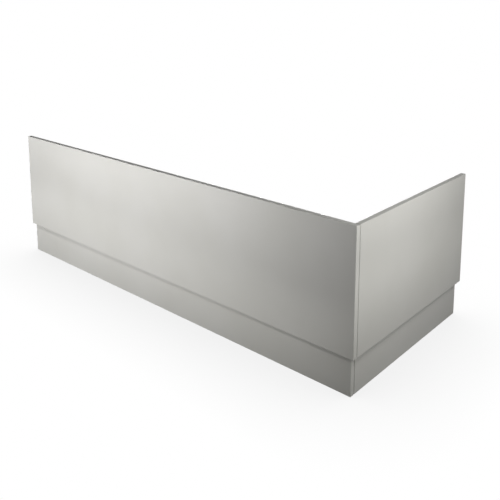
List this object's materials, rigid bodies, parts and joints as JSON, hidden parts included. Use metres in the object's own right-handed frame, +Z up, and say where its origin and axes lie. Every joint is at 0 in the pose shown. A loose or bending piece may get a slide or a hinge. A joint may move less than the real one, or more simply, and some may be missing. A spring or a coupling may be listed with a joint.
{
  "type": "bath panel",
  "caption": "L-shaped bath panel set: plain front panel and end panel butted at one corner, each on a set-back plinth, to close in the open sides of a bath.",
  "frame": {"origin": "on the floor, in the middle of the rectangle that the set encloses", "axes": "+X along the front panel towards the end panel, -Y out of the front panel's show face, +Z up"},
  "size_m": [1.7, 0.7, 0.53],
  "materials": {
    "grey_board": "satin",
    "zinc_plated_steel": "satin"
  },
  "bodies": {
    "root": {"front_panel": "grey_board", "front_plinth": "grey_board", "end_panel": "grey_board", "end_plinth": "grey_board", "upper_corner_bracket": "zinc_plated_steel", "lower_corner_bracket": "zinc_plated_steel", "plinth_corner_bracket": "zinc_plated_steel"}
  },
  "joints": []
}
